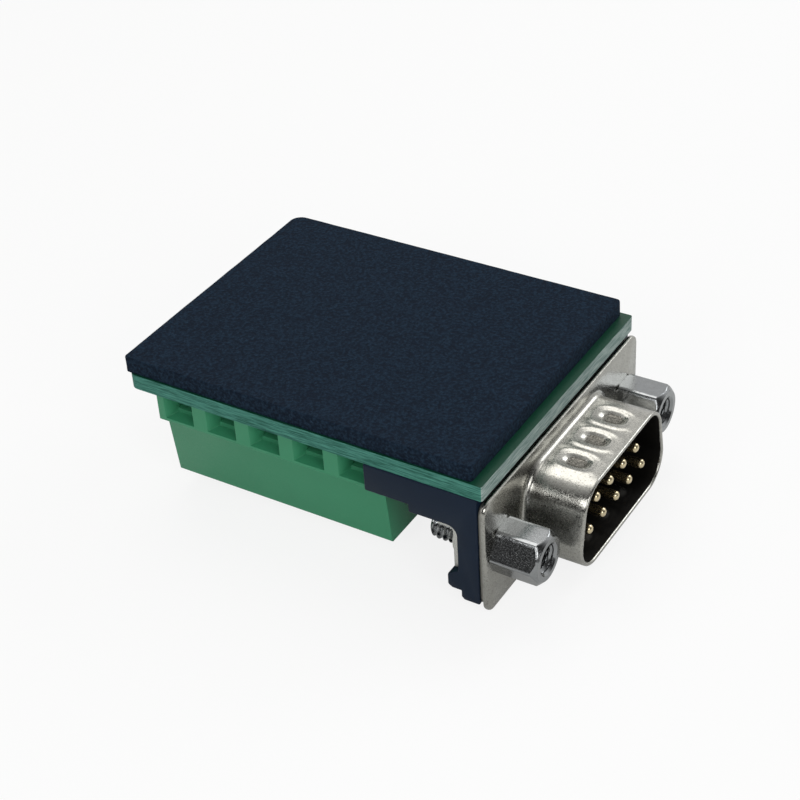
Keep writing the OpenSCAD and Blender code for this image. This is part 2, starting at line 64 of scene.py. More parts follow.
# Lengths in metres. The camera is the one fitted to the photograph.
stageValues = {
    "floorColour": "f4f4f2",
    "floorSize": 6.0,
    "floorGap": 0.00002,
    "floorWhite": 0.84,
    "floorBounce": 0.1,
    "fillLow": 0.03,
    "fillHigh": 0.42,
    "fillColour": (0.94, 0.97, 1.0, 1.0),
    "backWay": (-0.54, 0.81, 0.22),
    "backDim": 0.06,
    "sensor": 36,
    "lens": 81.19,
    "shift": (0.0133, 0.0302),
    "clip": (0.005, 20),
    "lamps": {
        "key": {"where": (-0.12, 0.10, 0.26), "size": 0.22, "watts": 0.26, "colour": (1.0, 0.98, 0.95)},
        "side": {"where": (0.20, -0.14, 0.12), "size": 0.16, "watts": 0.24, "colour": (1.0, 1.0, 1.0)},
        "front": {"where": (-0.02, -0.25, 0.15), "size": 0.12, "watts": 0.2, "colour": (1.0, 1.0, 1.0)},
        "back": {"where": (0.10, 0.24, 0.16), "size": 0.16, "watts": 0.22, "colour": (0.96, 0.98, 1.0)},
    },
}
white = (1.0, 1.0, 1.0, 1.0)


def fromHex(text):
    found = []
    for k in (0, 2, 4):
        c = int(text[k:k + 2], 16) / 255
        found.append(c / 12.92 if c <= 0.04045 else ((c + 0.055) / 1.055) ** 2.4)
    return (*found, 1.0)


def addNode(tree, kind, values=None, links=None, **settings):
    made = tree.nodes.new(kind)
    for name, value in settings.items():
        setattr(made, name, value)
    for key, value in (values or {}).items():
        made.inputs[key].default_value = value
    for key, source in (links or {}).items():
        tree.links.new(source, made.inputs[key])
    return made


def newTree(name):
    material = bpy.data.materials.new(name)
    material.use_nodes = True
    material.node_tree.nodes.clear()
    return material, material.node_tree


def addLamp(name, v, aim):
    data = bpy.data.lights.new(name, "AREA")
    data.shape = "DISK"
    data.size = v["size"]
    data.energy = v["watts"]
    data.color = v["colour"]
    lamp = bpy.data.objects.new(name, data)
    scene.collection.objects.link(lamp)
    lamp.location = v["where"]
    lamp.rotation_mode = "QUATERNION"
    lamp.rotation_quaternion = (Vector(aim) - Vector(v["where"])).to_track_quat("-Z", "Y")


camData = bpy.data.cameras.new("camera")
camData.sensor_width = stageValues["sensor"]
camData.lens = stageValues["lens"]
camData.shift_x, camData.shift_y = stageValues["shift"]
camData.clip_start, camData.clip_end = stageValues["clip"]
camera = bpy.data.objects.new("camera", camData)
scene.collection.objects.link(camera)
camera.matrix_world = Matrix((
    (0.85235918, -0.26876991, 0.44860514, 0.0613166),
    (0.51982232, 0.52921874, -0.67060591, -0.1210537),
    (-0.05717156, 0.80479206, 0.59079705, 0.1052524),
    (0, 0, 0, 1),
))
scene.camera = camera

world = bpy.data.worlds.new("studio")
world.use_nodes = True
world.node_tree.nodes.clear()
path = addNode(world.node_tree, "ShaderNodeLightPath")
skyCoords = addNode(world.node_tree, "ShaderNodeTexCoord")
skyParts = addNode(world.node_tree, "ShaderNodeSeparateXYZ", links={0: skyCoords.outputs["Object"]})
skyLevel = addNode(world.node_tree, "ShaderNodeMapRange",
                   {1: 0.05, 2: 0.75, 3: stageValues["fillLow"], 4: stageValues["fillHigh"]},
                   {0: skyParts.outputs[2]}, interpolation_type="SMOOTHSTEP")
fill = addNode(world.node_tree, "ShaderNodeBackground", {"Color": stageValues["fillColour"]},
               {"Strength": skyLevel.outputs[0]})
plain = addNode(world.node_tree, "ShaderNodeBackground", {"Color": white, "Strength": 1.0})
# What metal reflects: the white backdrop behind the object, and the dimmer room on the camera's side.
backWay = addNode(world.node_tree, "ShaderNodeVectorMath", {1: stageValues["backWay"]},
                  {0: skyCoords.outputs["Object"]}, operation="DOT_PRODUCT")
backLevel = addNode(world.node_tree, "ShaderNodeMapRange", {1: -0.3, 2: 0.45, 3: stageValues["backDim"], 4: 1.0},
                    {0: backWay.outputs["Value"]}, interpolation_type="SMOOTHSTEP")
backdrop = addNode(world.node_tree, "ShaderNodeBackground", {"Color": white},
                   {"Strength": backLevel.outputs[0]})
bounced = addNode(world.node_tree, "ShaderNodeMath",
                  links={0: path.outputs["Is Glossy Ray"], 1: path.outputs["Is Transmission Ray"]},
                  operation="MAXIMUM")
seen = addNode(world.node_tree, "ShaderNodeMixShader",
               links={0: bounced.outputs[0], 1: fill.outputs[0], 2: backdrop.outputs[0]})
mixed = addNode(world.node_tree, "ShaderNodeMixShader",
                links={0: path.outputs["Is Camera Ray"], 1: seen.outputs[0], 2: plain.outputs[0]})
addNode(world.node_tree, "ShaderNodeOutputWorld", links={"Surface": mixed.outputs[0]})
scene.world = world

centre = (cadBounds[0] + cadBounds[1]) / 2
for name, lampValues in stageValues["lamps"].items():
    addLamp(name, lampValues, centre)
scene.view_settings.view_transform = "Standard"

floorMesh = bpy.data.meshes.new("floor")
half = stageValues["floorSize"] / 2
floorZ = cadBounds[0][2] - stageValues["floorGap"]
floorMesh.from_pydata([(-half, -half, floorZ), (half, -half, floorZ), (half, half, floorZ), (-half, half, floorZ)],
                      [], [(0, 1, 2, 3)])
floor = bpy.data.objects.new("floor", floorMesh)
scene.collection.objects.link(floor)
floorMaterial, tree = newTree("floorPaper")
floorBase = addNode(tree, "ShaderNodeBsdfDiffuse", {"Color": fromHex(stageValues["floorColour"])})
floorGlow = addNode(tree, "ShaderNodeEmission", {"Color": white, "Strength": 1.0})
floorPath = addNode(tree, "ShaderNodeLightPath")
floorBounced = addNode(tree, "ShaderNodeMath",
                       links={0: floorPath.outputs["Is Glossy Ray"], 1: floorPath.outputs["Is Transmission Ray"]},
                       operation="MAXIMUM")
floorDim = addNode(tree, "ShaderNodeMath", {1: stageValues["floorBounce"]}, {0: floorBounced.outputs[0]},
                   operation="MULTIPLY")
floorShare = addNode(tree, "ShaderNodeMath", {1: stageValues["floorWhite"]},
                     {0: floorPath.outputs["Is Camera Ray"], 2: floorDim.outputs[0]}, operation="MULTIPLY_ADD")
floorMixed = addNode(tree, "ShaderNodeMixShader",
                     links={0: floorShare.outputs[0], 1: floorBase.outputs[0], 2: floorGlow.outputs[0]})
addNode(tree, "ShaderNodeOutputMaterial", links={"Surface": floorMixed.outputs[0]})
floorMesh.materials.append(floorMaterial)
print("stage ready")


# Materials

def surface(name, base, roughness, metallic=0.0, ior=1.5, mottle=0.1, mottleMm=2.0, grainMm=0.15, bump=0.1,
            bumpMm=0.01, roughSpread=0.08, coat=0.0, speck=None, shine=0.5, grain=None):
    material, tree = newTree(name)
    coords = addNode(tree, "ShaderNodeTexCoord")
    broad = addNode(tree, "ShaderNodeTexNoise", {"Scale": 1000 / mottleMm, "Detail": 3.0, "Roughness": 0.55},
                    {"Vector": coords.outputs["Object"]})
    fine = addNode(tree, "ShaderNodeTexNoise", {"Scale": 1000 / grainMm, "Detail": 2.0, "Roughness": 0.6},
                   {"Vector": coords.outputs["Object"]})
    dark = tuple(c * (1 - mottle) for c in fromHex(base)[:3])
    light = tuple(min(1.0, c * (1 + mottle)) for c in fromHex(base)[:3])
    tint = addNode(tree, "ShaderNodeMix", {6: (*dark, 1.0), 7: (*light, 1.0)}, {0: broad.outputs["Fac"]},
                   data_type="RGBA")
    colour = tint.outputs[2]
    if speck:
        flecks = addNode(tree, "ShaderNodeTexVoronoi", {"Scale": 1000 / speck["mm"]},
                         {"Vector": coords.outputs["Object"]})
        edge = addNode(tree, "ShaderNodeMapRange", {1: speck["low"], 2: speck["high"], 3: 1.0, 4: 0.0},
                       {0: flecks.outputs["Distance"]})
        share = addNode(tree, "ShaderNodeMath", {1: speck["share"]}, {0: edge.outputs[0]}, operation="MULTIPLY")
        spotted = addNode(tree, "ShaderNodeMix", {7: fromHex(speck["colour"])},
                          {0: share.outputs[0], 6: colour}, data_type="RGBA")
        colour = spotted.outputs[2]
    if grain:
        cells = addNode(tree, "ShaderNodeMapRange", {1: grain["low"], 2: grain["high"]}, {0: fine.outputs["Fac"]})
        grained = addNode(tree, "ShaderNodeMix", {7: fromHex(grain["colour"])}, {0: cells.outputs[0], 6: colour},
                          data_type="RGBA")
        colour = grained.outputs[2]
    rough = addNode(tree, "ShaderNodeMapRange",
                    {1: 0.3, 2: 0.7, 3: max(0.03, roughness - roughSpread), 4: min(1.0, roughness + roughSpread)},
                    {0: fine.outputs["Fac"]})
    raised = addNode(tree, "ShaderNodeBump", {"Strength": bump, "Distance": bumpMm * mm},
                     {"Height": fine.outputs["Fac"]})
    shader = addNode(tree, "ShaderNodeBsdfPrincipled",
                     {"Metallic": metallic, "IOR": ior, "Specular IOR Level": shine, "Coat Weight": coat,
                      "Coat Roughness": 0.12},
                     {"Base Color": colour, "Roughness": rough.outputs[0], "Normal": raised.outputs[0]})
    addNode(tree, "ShaderNodeOutputMaterial", links={"Surface": shader.outputs[0]})
    return material


def boardSurface(name, lacquer, edgeDark, edgeLight, sawnDark, sawnLight):
    material, tree = newTree(name)
    coords = addNode(tree, "ShaderNodeTexCoord")
    stretched = addNode(tree, "ShaderNodeMapping", {"Scale": (500.0, 500.0, 9000.0)},
                        {"Vector": coords.outputs["Object"]})
    layers = addNode(tree, "ShaderNodeTexNoise", {"Scale": 1.0, "Detail": 3.0, "Roughness": 0.7},
                     {"Vector": stretched.outputs[0]})
    sharper = addNode(tree, "ShaderNodeMapRange", {1: 0.35, 2: 0.65}, {0: layers.outputs["Fac"]})
    edge = addNode(tree, "ShaderNodeMix", {6: fromHex(edgeDark), 7: fromHex(edgeLight)}, {0: sharper.outputs[0]},
                   data_type="RGBA")
    sawn = addNode(tree, "ShaderNodeMix", {6: fromHex(sawnDark), 7: fromHex(sawnLight)}, {0: sharper.outputs[0]},
                   data_type="RGBA")
    cloth = addNode(tree, "ShaderNodeTexNoise", {"Scale": 1800.0, "Detail": 1.0},
                    {"Vector": coords.outputs["Object"]})
    deep = tuple(c * 0.82 for c in fromHex(lacquer)[:3])
    face = addNode(tree, "ShaderNodeMix", {6: (*deep, 1.0), 7: fromHex(lacquer)}, {0: cloth.outputs["Fac"]},
                   data_type="RGBA")
    shape = addNode(tree, "ShaderNodeNewGeometry")
    parts = addNode(tree, "ShaderNodeSeparateXYZ", links={0: shape.outputs["True Normal"]})
    upright = addNode(tree, "ShaderNodeMath", links={0: parts.outputs[2]}, operation="ABSOLUTE")
    flat = addNode(tree, "ShaderNodeMath", {1: 0.7}, {0: upright.outputs[0]}, operation="GREATER_THAN")
    toFront = addNode(tree, "ShaderNodeMath", {1: 0.7}, {0: parts.outputs[0]}, operation="GREATER_THAN")
    sides = addNode(tree, "ShaderNodeMix", links={0: toFront.outputs[0], 6: edge.outputs[2], 7: sawn.outputs[2]},
                    data_type="RGBA")
    both = addNode(tree, "ShaderNodeMix", links={0: flat.outputs[0], 6: sides.outputs[2], 7: face.outputs[2]},
                   data_type="RGBA")
    rough = addNode(tree, "ShaderNodeMapRange", {1: 0.0, 2: 1.0, 3: 0.75, 4: 0.45}, {0: flat.outputs[0]})
    raised = addNode(tree, "ShaderNodeBump", {"Strength": 0.35, "Distance": 0.02 * mm},
                     {"Height": sharper.outputs[0]})
    shader = addNode(tree, "ShaderNodeBsdfPrincipled", {"IOR": 1.55, "Specular IOR Level": 0.25},
                     {"Base Color": both.outputs[2], "Roughness": rough.outputs[0], "Normal": raised.outputs[0]})
    addNode(tree, "ShaderNodeOutputMaterial", links={"Surface": shader.outputs[0]})
    return material


materials = {
    # Closed-cell foam cut from sheet: matt and near black, with a fine paler grain of cut cells.
    # The grain is drawn at 0.27 mm so that it shows.
    "foam": surface("closedCellFoam", "0a1624", 0.9, mottle=0.25, mottleMm=0.8, grainMm=0.27, bump=1.0, bumpMm=0.08,
                    roughSpread=0.05, shine=0.12, grain={"low": 0.4, "high": 0.8, "colour": "233546"}),
    # Lacquered glass-fibre board: deep green faces, and cut edges that show pale layers.
    "board": boardSurface("glassFibreBoard", "02402c", "174f43", "4a8a7b", "56706b", "a5b3ae"),
    # Moulded polyamide: an even green with a soft, low sheen.
    "terminal_green": surface("greenNylon", "388762", 0.42, ior=1.53, mottle=0.05, mottleMm=3.0, grainMm=0.09,
                              bump=0.25, bumpMm=0.012, roughSpread=0.08, shine=0.3),
    # Deep-drawn steel, nickel plated: a bright warm grey with darker specks.
    "nickel": surface("nickelPlatedSteel", "a3a29c", 0.22, metallic=1.0, mottle=0.22, mottleMm=0.9, grainMm=0.13,
                      bump=0.6, bumpMm=0.016, roughSpread=0.14,
                      speck={"mm": 0.3, "low": 0.05, "high": 0.36, "share": 0.5, "colour": "55524b"}),
    # Stamped steel, tin plated: a dull grey that blurs what it reflects.
    "tin_plate": surface("tinPlatedSteel", "8d8b84", 0.42, metallic=1.0, mottle=0.08, mottleMm=1.0, grainMm=0.1,
                         bump=0.3, bumpMm=0.01),
    # Moulded polyester: a neutral half-matt black.
    "insulator": surface("blackPolyester", "141517", 0.5, mottle=0.1, mottleMm=1.0, grainMm=0.12, bump=0.2,
                         bumpMm=0.01),
    # Moulded polyamide: blue-black with a faint sheen.
    "bracket": surface("blueBlackNylon", "0f1d2e", 0.42, mottle=0.12, mottleMm=1.5, grainMm=0.1, bump=0.25,
                       bumpMm=0.012, shine=0.15),
    # Bent steel strip, tin plated: pale against the black bracket.
    "clip_metal": surface("tinPlatedStrip", "c9c8c3", 0.3, metallic=1.0, mottle=0.05, mottleMm=0.7, grainMm=0.1,
                          bump=0.25, bumpMm=0.01),
    # Steel turned from hexagon bar, nickel plated: glossy facets with darker specks.
    "socket_metal": surface("nickelPlatedTurnedSteel", "8b8d8e", 0.17, metallic=1.0, mottle=0.12, mottleMm=0.6,
                            grainMm=0.14, bump=0.4, bumpMm=0.012, roughSpread=0.1,
                            speck={"mm": 0.4, "low": 0.04, "high": 0.3, "share": 0.25, "colour": "6a675f"}),
    # Turned steel, zinc plated: a light grey with a soft gleam.
    "screw_steel": surface("zincPlatedSteel", "c4c2b8", 0.3, metallic=1.0, mottle=0.06, mottleMm=0.5, grainMm=0.1,
                           bump=0.25, bumpMm=0.01),
    # Folded brass, nickel plated: a warm grey deep in the wire entries.
    "cage_metal": surface("nickelPlatedBrass", "b9b09a", 0.32, metallic=1.0, mottle=0.06, mottleMm=0.6, grainMm=0.1,
                          bump=0.25, bumpMm=0.01),
    # Stamped brass, tin plated: pale and slightly warm.
    "contact_metal": surface("tinPlatedBrass", "c8c2b2", 0.35, metallic=1.0, mottle=0.06, mottleMm=0.6, grainMm=0.1,
                             bump=0.25, bumpMm=0.01),
    # Turned brass, gold flashed: pale gold points against the black insulator.
    "pin_metal": surface("goldFlashedBrass", "cbbd9c", 0.24, metallic=1.0, mottle=0.08, mottleMm=0.4, grainMm=0.1,
                         bump=0.15, bumpMm=0.006),
}
# Solder left as it cooled: small bright domes.
solderMaterial = surface("solder", "b5b5b2", 0.28, metallic=1.0, mottle=0.06, mottleMm=0.4, grainMm=0.12, bump=0.3,
                         bumpMm=0.02)
# The same nickel inside the rim, with painted shade: a darkened copy of the plating, so the inner wall reads as a
# dark frame around the pins.
shellInsidePaintedShade = surface("dullNickelInside", "2a2927", 0.55, metallic=1.0, mottle=0.15, mottleMm=0.8, grainMm=0.12,
                      bump=0.3, bumpMm=0.012)
# Nickel in the dimple floors, roughened by the punch, with painted shade: a darker base colour and dense dark specks
# make dark, grainy floors between bright rims.
pressedNickel = surface("pressedNickel", "6c6a64", 0.3, metallic=1.0, mottle=0.4, mottleMm=0.4, grainMm=0.2, bump=1.0,
                        bumpMm=0.06, roughSpread=0.15,
                        speck={"mm": 0.26, "low": 0.05, "high": 0.45, "share": 0.85, "colour": "262420"})
# Copper under green lacquer: tracks a shade lighter than the board.
traceMaterial = surface("lacqueredCopper", "14704f", 0.3, mottle=0.06, mottleMm=1.0, grainMm=0.2, bump=0.2,
                        bumpMm=0.01, coat=0.3)
slotOf = {row["node"]: row["material_slot"] for row in frame["record"]["subparts"]}
bodyOf = {node: body for body, nodes in frame["record"]["behaviour"]["bodies"].items() for node in nodes}
for name, node in frame["nodes"].items():
    node.data.materials.clear()
    node.data.materials.append(materials[slotOf[name]])
print("materials ready")


# Mesh making

class MeshBag:
    def __init__(self):
        self.points = []
        self.faces = []

    def loop(self, points):
        first = len(self.points)
        self.points.extend(points)
        return list(range(first, first + len(points)))

    def bridge(self, a, b):
        n = len(a)
        for k in range(n):
            self.faces.append((a[k], a[(k + 1) % n], b[(k + 1) % n], b[k]))

    def cap(self, a):
        n = len(a)
        middle = [sum(self.points[k][c] for k in a) / n for c in range(3)]
        centre = self.loop([tuple(middle)])[0]
        for k in range(n):
            self.faces.append((a[k], a[(k + 1) % n], centre))

    def fill(self, loops, flatten):
        flat, ids, edges = [], [], []
        for loop in loops:
            first = len(flat)
            flat.extend(Vector(flatten(self.points[k])) * 1000 for k in loop)
            ids.extend(loop)
            edges.extend((first + k, first + (k + 1) % len(loop)) for k in range(len(loop)))
        outlines = [[Vector(flatten(self.points[k])) * 1000 for k in loop] for loop in loops]
        verts, _, faces, originals, _, _ = delaunay_2d_cdt(flat, edges, [], 0, 1e-6, True)
        for face in faces:
            middle = sum((verts[k] for k in face), Vector((0, 0))) / len(face)
            inside = sum(insideOf(middle, outline) for outline in outlines) % 2
            if inside:
                self.faces.append(tuple(ids[originals[k][0]] for k in face))

    def toObject(self, name, material, smoothDegrees=35):
        mesh = bpy.data.meshes.new(name)
        mesh.from_pydata(self.points, [], self.faces)
        return finishMesh(mesh, name, material, smoothDegrees)


def insideOf(point, outline):
    found = False
    n = len(outline)
    for k in range(n):
        a, b = outline[k], outline[(k + 1) % n]
        if (a.y > point.y) != (b.y > point.y):
            if point.x < (b.x - a.x) * (point.y - a.y) / (b.y - a.y) + a.x:
                found = not found
    return found


def finishMesh(mesh, name, material, smoothDegrees):
    work = bmesh.new()
    work.from_mesh(mesh)
    bmesh.ops.remove_doubles(work, verts=work.verts, dist=1e-8)
    bmesh.ops.recalc_face_normals(work, faces=work.faces)
    work.to_mesh(mesh)
    openEdges = sum(1 for e in work.edges if not e.is_manifold)
    work.free()
    mesh.materials.clear()
    mesh.materials.append(material)
    mesh.polygons.foreach_set("use_smooth", [True] * len(mesh.polygons))
    mesh.set_sharp_from_angle(angle=math.radians(smoothDegrees))
    mesh.update()
    made = bpy.data.objects.new(name, mesh)
    scene.collection.objects.link(made)
    if openEdges:
        print(f"{name}: {openEdges} open edges")
    return made


def standIn(made, *nodes):
    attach(made, bodyOf[nodes[0]])
    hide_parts(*nodes)
    return made


def softened(node, name, widthMm, smoothDegrees=35, segments=2, minAngle=30):
    work = bmesh.new()
    work.from_mesh(frame["nodes"][node].data)
    bmesh.ops.remove_doubles(work, verts=work.verts, dist=2e-7)
    bmesh.ops.dissolve_limit(work, angle_limit=math.radians(0.6), verts=work.verts, edges=work.edges)
    sharp = [e for e in work.edges if e.is_manifold and e.calc_face_angle() > math.radians(minAngle)]
    before = work.calc_volume()
    bmesh.ops.bevel(work, geom=sharp, offset=widthMm * mm, offset_type="OFFSET", segments=segments, profile=0.5,
                    affect="EDGES", clamp_overlap=True, miter_outer="SHARP")
    bmesh.ops.triangulate(work, faces=[f for f in work.faces if len(f.verts) > 4])
    after = work.calc_volume()
    mesh = bpy.data.meshes.new(name)
    work.to_mesh(mesh)
    work.free()
    print(f"{name}: volume {after / before:.4f}")
    return standIn(finishMesh(mesh, name, materials[slotOf[node]], smoothDegrees), node)


def roundedLoop(w, h, radius, perCorner, make):
    found = []
    radii = radius if isinstance(radius, (list, tuple)) else [radius] * 4
    for r, (sx, sy, start) in zip(radii, ((1, -1, -90), (1, 1, 0), (-1, 1, 90), (-1, -1, 180))):
        for k in range(perCorner + 1):
            a = math.radians(start + 90 * k / perCorner)
            found.append(make(sx * (w / 2 - r) + r * math.cos(a), sy * (h / 2 - r) + r * math.sin(a)))
    return found


def circleLoop(cx, cy, r, count, make):
    return [make(cx + r * math.cos(2 * math.pi * k / count), cy + r * math.sin(2 * math.pi * k / count))
            for k in range(count)]


# Front shell: flange, drawn wall with rolled rim and grip dimples

shellValues = {
    "width": 16.92, "height": 8.36, "corner": 2.6, "slope": 10, "wall": 0.4, "out": 6.15, "root": 0.6,
    "flangeW": 31.1, "flangeH": 12.6, "flangeT": 0.5, "flangeR": 1.3, "edge": 0.16, "holeR": 1.55, "holeY": 12.495,
    "dimplePitch": 3.75, "dimpleL": 3.2, "dimpleW": 2.1, "dimpleDepth": 0.32, "dimpleRim": 0.05,
    "dimpleFloor": 0.42, "step": 0.11, "rootSteps": 6, "pressSteps": 36, "rimSteps": 8, "pressMargin": 0.4,
    "backBreak": 0.12, "holeBreak": 0.06, "holeSides": 40,
}


def dOutline(grow, v):
    rise = v["height"] / 2 - v["corner"]
    lowY = v["width"] / 2 - v["corner"]
    highY = lowY - 2 * rise * math.tan(math.radians(v["slope"]))
    r = v["corner"] + grow
    found = []
    along = round(2 * lowY / v["step"])
    found += [(-lowY + 2 * lowY * k / along, -rise - r) for k in range(along)]
    found += [(lowY + r * math.cos(math.radians(-90 + (90 + v["slope"]) * k / 16)),
               -rise + r * math.sin(math.radians(-90 + (90 + v["slope"]) * k / 16))) for k in range(17)]
    found += [(highY + r * math.cos(math.radians(v["slope"] + (90 - v["slope"]) * k / 14)),
               rise + r * math.sin(math.radians(v["slope"] + (90 - v["slope"]) * k / 14))) for k in range(15)]
    across = round(2 * highY / v["step"])
    found += [(highY - 2 * highY * k / across, rise + r) for k in range(1, across)]
    found += [(-highY + r * math.cos(math.radians(90 + (90 - v["slope"]) * k / 14)),
               rise + r * math.sin(math.radians(90 + (90 - v["slope"]) * k / 14))) for k in range(15)]
    found += [(-lowY + r * math.cos(math.radians(180 - v["slope"] + (90 + v["slope"]) * k / 16)),
               -rise + r * math.sin(math.radians(180 - v["slope"] + (90 + v["slope"]) * k / 16))) for k in range(16)]
    return found


def dimpleReach(x, y, v):
    dx = abs(x - v["out"] / 2) / (v["dimpleL"] / 2)
    dy = min(abs(y - k * v["dimplePitch"]) for k in (-1, 0, 1)) / (v["dimpleW"] / 2)
    return (dx ** 2.8 + dy ** 2.8) ** (1 / 2.8)


def dimpleDepth(x, y, v):
    reach = dimpleReach(x, y, v)
    if reach > 1.8:
        return 0.0
    if reach > 1:
        return v["dimpleRim"] * math.sin(math.pi * (reach - 1) / 0.8) ** 2
    t = min(1.0, (1 - reach) / (1 - v["dimpleFloor"]))
    return -v["dimpleDepth"] * t * t * (3 - 2 * t)


def makeShell(v):
    bag = MeshBag()

    def wallLoop(x, grow, pressed):
        points = []
        for y, z in dOutline(grow, v):
            d = dimpleDepth(x, y, v) if pressed and abs(z) > v["height"] / 2 - 0.05 else 0.0
            points.append((x * mm, y * mm, (z + math.copysign(d, d * z)) * mm))
        return bag.loop(points)

    rows = []
    for k in range(v["rootSteps"] + 1):
        t = math.radians(90 * k / v["rootSteps"])
        rows.append((v["root"] - v["root"] * math.cos(t), v["wall"] + v["root"] - v["root"] * math.sin(t), False))
    low = v["out"] / 2 - v["dimpleL"] / 2 - v["pressMargin"]
    high = v["out"] / 2 + v["dimpleL"] / 2 + v["pressMargin"]
    pressedX = [low + (high - low) * k / v["pressSteps"] for k in range(v["pressSteps"] + 1)]
    rows += [(x, v["wall"], True) for x in pressedX]
    rimR = v["wall"] / 2
    for k in range(v["rimSteps"] + 1):
        t = math.radians(180 * k / v["rimSteps"])
        rows.append((v["out"] - rimR + rimR * math.sin(t), rimR + rimR * math.cos(t), False))
    rows += [(x, 0.0, True) for x in reversed(pressedX)]
    rows += [(0.2, 0.0, False), (-v["flangeT"] + v["backBreak"], 0.0, False),
             (-v["flangeT"], v["backBreak"], False)]
    loops = [wallLoop(*row) for row in rows]
    for a, b in zip(loops, loops[1:]):
        bag.bridge(a, b)
    outer = []
    for x, inset in ((0, v["edge"]), (-0.3 * v["edge"], 0.3 * v["edge"]), (-v["edge"], 0),
                     (-v["flangeT"] + v["edge"], 0), (-v["flangeT"] + 0.3 * v["edge"], 0.3 * v["edge"]),
                     (-v["flangeT"], v["edge"])):
        outer.append(bag.loop(roundedLoop(v["flangeW"] - 2 * inset, v["flangeH"] - 2 * inset, v["flangeR"] - inset,
                                          10, lambda y, z, x=x: (x * mm, y * mm, z * mm))))
    for a, b in zip(outer, outer[1:]):
        bag.bridge(a, b)
    fronts, backs = [], []
    wide = v["holeR"] + v["holeBreak"]
    for side in (-1, 1):
        ring = [bag.loop(circleLoop(side * v["holeY"], 0, r, v["holeSides"],
                                    lambda y, z, x=x: (x * mm, y * mm, z * mm)))
                for x, r in ((0, wide), (-v["holeBreak"], v["holeR"]),
                             (-v["flangeT"] + v["holeBreak"], v["holeR"]), (-v["flangeT"], wide))]
        for a, b in zip(ring, ring[1:]):
            bag.bridge(a, b)
        fronts.append(ring[0])
        backs.append(ring[-1])
    bag.fill([outer[0], loops[0], *fronts], lambda p: (p[1], p[2]))
    bag.fill([outer[-1], loops[-1], *backs], lambda p: (p[1], p[2]))
    made = bag.toObject("plugShell", materials["nickel"], 40)
    # Darker copies of the nickel with painted shade, for the inner wall and the dimple floors.
    made.data.materials.append(shellInsidePaintedShade)
    made.data.materials.append(pressedNickel)
    for face in made.data.polygons:
        middle = face.center
        reach = dimpleReach(middle.x / mm, middle.y / mm, v)
        # Dimple floor faces take the darker pressed nickel: painted shade in the dimples.
        if abs(middle.z) > v["height"] / 2 * mm and reach < v["dimpleFloor"] + 0.2:
            face.material_index = 2
        # Inner wall faces turned towards the axis take the darkened nickel copy: painted shade inside the rim.
        nearAxis = Vector((0, -middle.y, -middle.z)).normalized()
        if 0.15 * mm < middle.x < (v["out"] - 0.25) * mm and face.normal.dot(nearAxis) > 0.4:
            if abs(middle.y) < (v["width"] / 2 + 0.1) * mm and abs(middle.z) < (v["height"] / 2 + 0.1) * mm:
                face.material_index = 1
    return standIn(made, "front_shell")


makeShell(shellValues)
print("shell ready")


# Jack sockets: turned from hexagon bar, with a cut thread in the hole and on the stud

jackValues = {
    "across": 4.76, "length": 4.7, "chamfer": 0.6, "baseChamfer": 0.2, "sink": 1.62, "hole": 1.5, "holeDepth": 4.0,
    "stud": 1.42, "studEnd": -6.9, "pitch": 0.635, "threadDepth": 0.3, "count": 96, "y": 12.495, "holeSteps": 44,
    "studSteps": 84,
}


def threadShare(x, angle, pitch, hand):
    f = (x / pitch + hand * angle / (2 * math.pi)) % 1.0
    return min(1.0, max(0.0, (abs(f - 0.5) * 2 - 0.12) / 0.72))


def makeJack(v, side, node, name):
    bag = MeshBag()
    n = v["count"]
    corner = v["across"] / 2 / math.cos(math.radians(30))

    def hexRadius(a):
        near = a % math.radians(60) - math.radians(30)
        return min(v["across"] / 2 / math.cos(near), corner - 0.05)

    def ring(x, radius):
        points = []
        for k in range(n):
            a = 2 * math.pi * k / n
            r = radius(a) if callable(radius) else radius
            points.append((x * mm, (side * v["y"] + r * math.cos(a)) * mm, r * math.sin(a) * mm))
        return bag.loop(points)

    rows = []
    deep = v["length"] - v["holeDepth"]
    rows.append((deep - 0.35, 0.05))
    rows.append((deep, v["hole"] - v["threadDepth"]))
    steps = v["holeSteps"]
    for k in range(steps + 1):
        x = deep + 0.1 + (v["holeDepth"] - 0.1 - v["sink"] + v["hole"] - 0.25) * k / steps
        fade = min(1.0, k / 4)
        rows.append((x, lambda a, x=x, fade=fade: v["hole"] - v["threadDepth"]
                     + v["threadDepth"] * fade * threadShare(x, a, v["pitch"], -1)))
    rows.append((v["length"] - v["sink"] + v["hole"] - 0.12, v["hole"] - 0.12))
    rows.append((v["length"] - 0.03, v["sink"] - 0.02))
    rows.append((v["length"], v["sink"] + 0.02))
    for k in range(11):
        cone = corner - v["chamfer"] * (1 - k / 10)
        rows.append((v["length"] - v["chamfer"] * k / 10, lambda a, cone=cone: min(hexRadius(a), cone)))
    for k in range(4, -1, -1):
        cone = corner - v["baseChamfer"] * (1 - k / 4)
        rows.append((0.01 + v["baseChamfer"] * k / 4, lambda a, cone=cone: min(hexRadius(a), cone)))
    rows.append((0.0, v["stud"] + 0.1))
    rows.append((-0.3, v["stud"] - v["threadDepth"] * 0.5))
    start, end = -0.9, v["studEnd"] + 0.3
    steps = v["studSteps"]
    for k in range(steps + 1):
        x = start + (end - start) * k / steps
        fade = min(1.0, k / 5)
        rows.append((x, lambda a, x=x, fade=fade: v["stud"] - v["threadDepth"]
                     + v["threadDepth"] * fade * threadShare(x, a, v["pitch"], 1)))
    rows.append((v["studEnd"], v["stud"] - v["threadDepth"] - 0.1))
    rows.append((v["studEnd"], 0.3))
    loops = [ring(x, r) for x, r in rows]
    for a, b in zip(loops, loops[1:]):
        bag.bridge(a, b)
    bag.cap(loops[0])
    bag.cap(loops[-1])
    return standIn(bag.toObject(name, materials["socket_metal"], 28), node)


makeJack(jackValues, -1, "jack_socket_near", "jackSocketNear")
makeJack(jackValues, 1, "jack_socket_far", "jackSocketFar")
print("jack sockets ready")


# Plug pins

